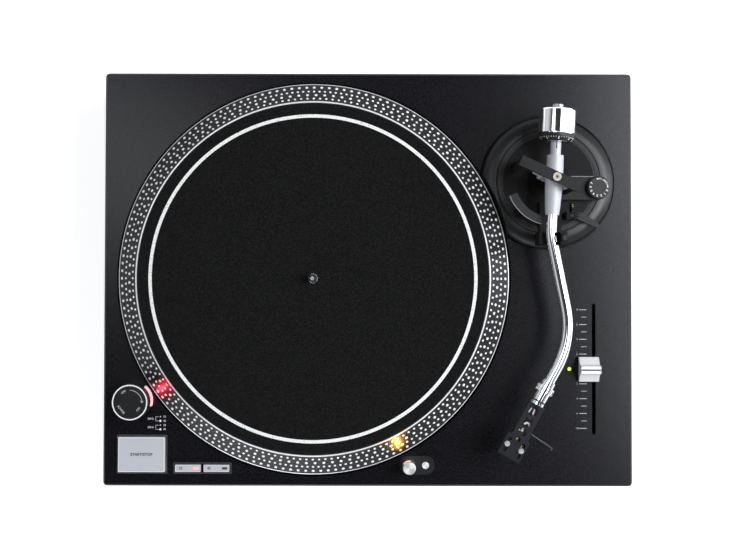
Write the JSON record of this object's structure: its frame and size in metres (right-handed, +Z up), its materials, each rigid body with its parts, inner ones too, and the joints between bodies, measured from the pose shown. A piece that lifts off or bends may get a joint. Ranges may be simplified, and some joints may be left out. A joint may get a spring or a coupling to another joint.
{
  "type": "direct drive turntable",
  "caption": "Flat black plinth with a dotted round platter that spins on a motor, an S-shaped tonearm, a pitch fader and push buttons, for playing vinyl records.",
  "frame": {"origin": "on the floor, under the middle of the plinth", "axes": "+X to the right as seen from the front, +Y to the back, +Z up"},
  "size_m": [0.45, 0.352, 0.1448],
  "materials": {
    "deck": "satin black with a fine speckle",
    "tray": "moulded black",
    "foot": "matt",
    "steel": "machined",
    "silver": "satin",
    "chrome": "polished",
    "board": "solder mask",
    "copper": "enamelled wire",
    "iron": "laminated",
    "black_plastic": "fine texture",
    "dark_metal": "satin",
    "platter_black": "black anodised with bright edges",
    "felt": "felt",
    "button": "silver satin",
    "window": "frosted red",
    "lens": "clear",
    "led": "green"
  },
  "bodies": {
    "case": {"plinth": "deck", "base_tray": "tray", "case_screws": "steel", "foot_front_left": "foot", "foot_front_right": "foot", "foot_rear_left": "foot", "foot_rear_right": "foot", "bearing_housing": "silver", "motor_board": "board", "motor_stator": "iron", "motor_coils": "copper", "main_board": "board", "transformer": "iron", "control_board": "board", "power_switch": "black_plastic", "strobe_tower": "black_plastic", "strobe_window": "window", "target_pod": "black_plastic", "pitch_pot": "black_plastic", "pitch_led": "led", "arm_skirt": "dark_metal", "audio_terminals": "copper", "mains_inlet": "black_plastic"},
    "platter": {"platter": "platter_black", "spindle": "steel", "rotor_magnet": "iron"},
    "slipmat": {"slipmat": "felt"},
    "pitch_fader": {"pitch_cap": "button", "pitch_stem": "black_plastic"},
    "start_stop_button": {"start_stop_button": "button"},
    "speed_button_33": {"speed_button_33": "button"},
    "speed_button_45": {"speed_button_45": "button"},
    "power_knob": {"power_knob": "black_plastic"},
    "target_lamp": {"target_lamp": "silver", "target_lens": "lens"},
    "target_button": {"target_button": "button"},
    "height_ring": {"height_ring": "dark_metal"},
    "arm_base": {"arm_base": "dark_metal", "arm_arch": "dark_metal", "pivot_screw": "steel", "anti_skate_housing": "black_plastic", "arm_rest": "black_plastic"},
    "gimbal": {"gimbal": "silver", "pivot_pins": "steel"},
    "tonearm": {"arm_barrel": "silver", "arm_tube": "chrome", "headshell": "dark_metal", "cartridge": "black_plastic", "stylus": "black_plastic", "cartridge_screws": "steel", "finger_lift": "steel"},
    "locking_collar": {"locking_collar": "chrome"},
    "weight_sleeve": {"weight_sleeve": "copper"},
    "counterweight": {"counterweight": "chrome"},
    "force_dial": {"force_dial": "black_plastic"},
    "anti_skate_knob": {"anti_skate_knob": "black_plastic"},
    "cue_lever": {"cue_lever": "black_plastic"},
    "arm_lift": {"arm_lift": "black_plastic"},
    "rest_latch": {"rest_latch": "black_plastic"}
  },
  "joints": [
    {"name": "platter_spin", "type": "hinge", "parent": "case", "child": "platter", "pos_m": [-0.046, 0.0003, 0.1], "axis": [0, 0, 1], "continuous": true},
    {"name": "slipmat_slip", "type": "hinge", "parent": "platter", "child": "slipmat", "pos_m": [-0.046, 0.0003, 0.107], "axis": [0, 0, 1], "continuous": true},
    {"name": "pitch_slide", "type": "slide", "parent": "case", "child": "pitch_fader", "axis": [0, -1, 0], "range_m": [-0.05, 0.05]},
    {"name": "start_stop_press", "type": "slide", "parent": "case", "child": "start_stop_button", "axis": [0, 0, -1], "range_m": [0, 0.002], "stiffness_N_per_m": 400, "springref_m": -0.002},
    {"name": "speed_33_press", "type": "slide", "parent": "case", "child": "speed_button_33", "axis": [0, 0, -1], "range_m": [0, 0.001], "stiffness_N_per_m": 400, "springref_m": -0.001},
    {"name": "speed_45_press", "type": "slide", "parent": "case", "child": "speed_button_45", "axis": [0, 0, -1], "range_m": [0, 0.001], "stiffness_N_per_m": 400, "springref_m": -0.001},
    {"name": "power_turn", "type": "hinge", "parent": "case", "child": "power_knob", "pos_m": [-0.19819, -0.1033, 0.105], "axis": [0, 0, -1], "range_deg": [0, 40]},
    {"name": "target_lamp_pop", "type": "slide", "parent": "case", "child": "target_lamp", "axis": [0, 0, 1], "range_m": [-0.018, 0], "stiffness_N_per_m": 40, "springref_m": 0.01},
    {"name": "target_button_press", "type": "slide", "parent": "case", "child": "target_button", "axis": [0, 0, -1], "range_m": [0, 0.0015], "stiffness_N_per_m": 400, "springref_m": -0.001},
    {"name": "height_ring_turn", "type": "hinge", "parent": "case", "child": "height_ring", "pos_m": [0.1525, 0.0824, 0.094], "axis": [0, 0, 1], "range_deg": [0, 301]},
    {"name": "arm_height", "type": "slide", "parent": "case", "child": "arm_base", "axis": [0, 0, 1], "range_m": [0, 0.006]},
    {"name": "tonearm_swing", "type": "hinge", "parent": "arm_base", "child": "gimbal", "pos_m": [0.1525, 0.0824, 0.128], "axis": [0, 0, -1], "range_deg": [0, 48]},
    {"name": "tonearm_tilt", "type": "hinge", "parent": "gimbal", "child": "tonearm", "pos_m": [0.1525, 0.0824, 0.128], "axis": [-0.9063, 0.4226, 0], "range_deg": [0, 12]},
    {"name": "locking_collar_turn", "type": "hinge", "parent": "tonearm", "child": "locking_collar", "pos_m": [0.14481, -0.09047, 0.128], "axis": [-0.4818, -0.8763, 0], "range_deg": [0, 25]},
    {"name": "weight_travel", "type": "slide", "parent": "tonearm", "child": "weight_sleeve", "axis": [0.0558, 0.9984, 0], "range_m": [-0.0051, 0.0051]},
    {"name": "weight_turn", "type": "hinge", "parent": "weight_sleeve", "child": "counterweight", "pos_m": [0.15509, 0.12863, 0.128], "axis": [0.0558, 0.9984, 0], "range_deg": [-720, 720]},
    {"name": "force_dial_turn", "type": "hinge", "parent": "counterweight", "child": "force_dial", "pos_m": [0.15441, 0.11665, 0.128], "axis": [0.0558, 0.9984, 0], "continuous": true},
    {"name": "anti_skate_turn", "type": "hinge", "parent": "arm_base", "child": "anti_skate_knob", "pos_m": [0.1929, 0.0768, 0.107], "axis": [0, 0, 1], "range_deg": [0, 300]},
    {"name": "cue_lever_lift", "type": "hinge", "parent": "arm_base", "child": "cue_lever", "pos_m": [0.1725, 0.0534, 0.1025], "axis": [-1, 0, 0], "range_deg": [0, 52]},
    {"name": "arm_lift_rise", "type": "slide", "parent": "arm_base", "child": "arm_lift", "axis": [0, 0, 1], "range_m": [0, 0.006]},
    {"name": "rest_latch_swing", "type": "hinge", "parent": "arm_base", "child": "rest_latch", "pos_m": [0.1593, 0.0334, 0.1344], "axis": [0, -1, 0], "range_deg": [0, 90]}
  ],
  "couplings": [
    {"joint": "height_ring_turn", "follows": "arm_height", "rad_per_m": 872.66},
    {"joint": "weight_travel", "follows": "weight_turn", "m_per_rad": 0.00039789},
    {"joint": "cue_lever_lift", "follows": "arm_lift_rise", "rad_per_m": 145.44}
  ]
}
